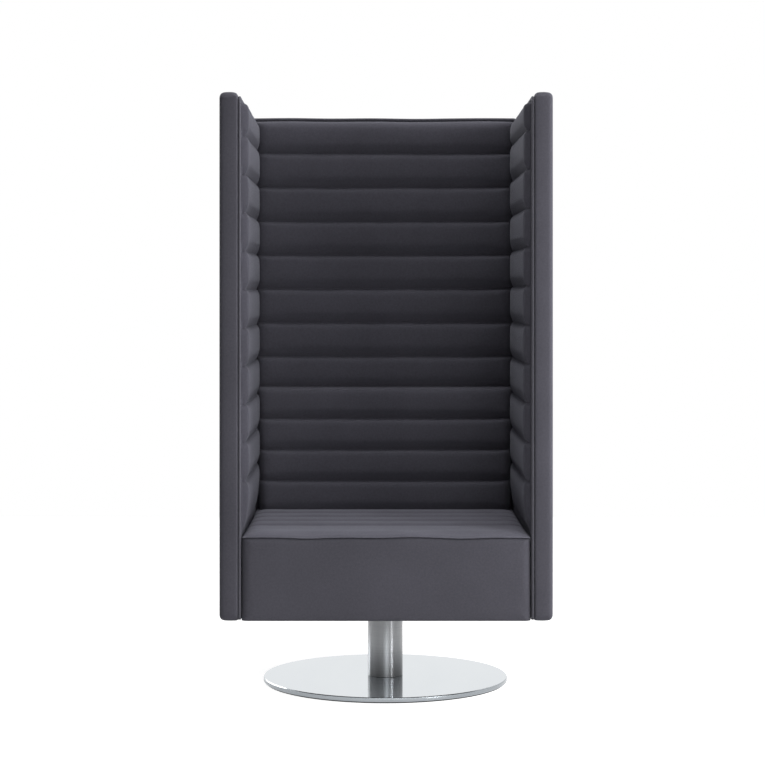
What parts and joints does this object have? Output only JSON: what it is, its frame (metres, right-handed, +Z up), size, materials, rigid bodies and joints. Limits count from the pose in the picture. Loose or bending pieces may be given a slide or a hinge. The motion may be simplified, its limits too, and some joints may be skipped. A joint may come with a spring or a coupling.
{
  "type": "acoustic high back lounge chair",
  "caption": "Upholstered lounge chair with a high back and tall acoustic side wings, turning on a column and a round base plate.",
  "frame": {"origin": "on the floor, at the centre of the base plate's underside", "axes": "+Z up along the column; -Y is the front, where one sits down; +X is the sitter's left"},
  "size_m": [0.72, 0.65, 1.3275],
  "materials": {
    "plain_upholstery": "smooth tightly woven charcoal cloth",
    "channelled_upholstery": "charcoal cloth over foam, sewn in channels",
    "welt_cloth": "charcoal cloth over a cord",
    "timber": "raw plywood",
    "webbing": "elastic webbing",
    "lining": "black non-woven lining",
    "polished_base": "mirror polished",
    "column_steel": "polished, softly brushed",
    "hardware_steel": "zinc plated",
    "bearing_nylon": "natural nylon",
    "floor_rubber": "matt black"
  },
  "bodies": {
    "base": {"floor_ring": "floor_rubber", "base_plate": "polished_base", "base_bolt": "hardware_steel", "front_locating_pin": "hardware_steel", "rear_locating_pin": "hardware_steel", "column_plug": "hardware_steel", "column_tube": "column_steel", "lower_bush_carrier": "hardware_steel", "upper_bush_carrier": "hardware_steel", "lower_bush": "bearing_nylon", "upper_bush": "bearing_nylon", "lower_race": "hardware_steel"},
    "bearing_cage": {"ball_cage": "hardware_steel"},
    "seat": {"back_board": "timber", "back_cover": "plain_upholstery", "circlip": "hardware_steel", "dust_cover": "lining", "front_rail": "timber", "left_front_seat_screw": "hardware_steel", "left_lower_back_screw": "hardware_steel", "left_rear_seat_screw": "hardware_steel", "left_side_rail": "timber", "left_upper_back_screw": "hardware_steel", "left_wing_board": "timber", "left_wing_cover": "plain_upholstery", "left_wing_pad": "channelled_upholstery", "left_wing_welt": "welt_cloth", "lumbar_pad": "channelled_upholstery", "mounting_bolt_1": "hardware_steel", "mounting_bolt_2": "hardware_steel", "mounting_bolt_3": "hardware_steel", "mounting_bolt_4": "hardware_steel", "mounting_plate": "hardware_steel", "rear_rail": "timber", "right_front_seat_screw": "hardware_steel", "right_lower_back_screw": "hardware_steel", "right_rear_seat_screw": "hardware_steel", "right_side_rail": "timber", "right_upper_back_screw": "hardware_steel", "right_wing_board": "timber", "right_wing_cover": "plain_upholstery", "right_wing_pad": "channelled_upholstery", "right_wing_welt": "welt_cloth", "seat_board": "timber", "seat_cushion": "channelled_upholstery", "seat_front_pad": "plain_upholstery", "spindle": "hardware_steel", "tee_nut_1": "hardware_steel", "tee_nut_2": "hardware_steel", "tee_nut_3": "hardware_steel", "tee_nut_4": "hardware_steel", "upper_back_pad": "channelled_upholstery", "upper_race": "hardware_steel", "webbing_strap_1": "webbing", "webbing_strap_2": "webbing", "webbing_strap_3": "webbing", "webbing_strap_4": "webbing"}
  },
  "joints": [
    {"name": "swivel", "type": "hinge", "parent": "base", "child": "seat", "pos_m": [0, 0, 0], "axis": [0, 0, 1], "continuous": true},
    {"name": "bearing_roll", "type": "hinge", "parent": "base", "child": "bearing_cage", "pos_m": [0, 0, 0], "axis": [0, 0, 1], "continuous": true}
  ],
  "couplings": [
    {"joint": "bearing_roll", "follows": "swivel", "ratio": 0.5}
  ]
}
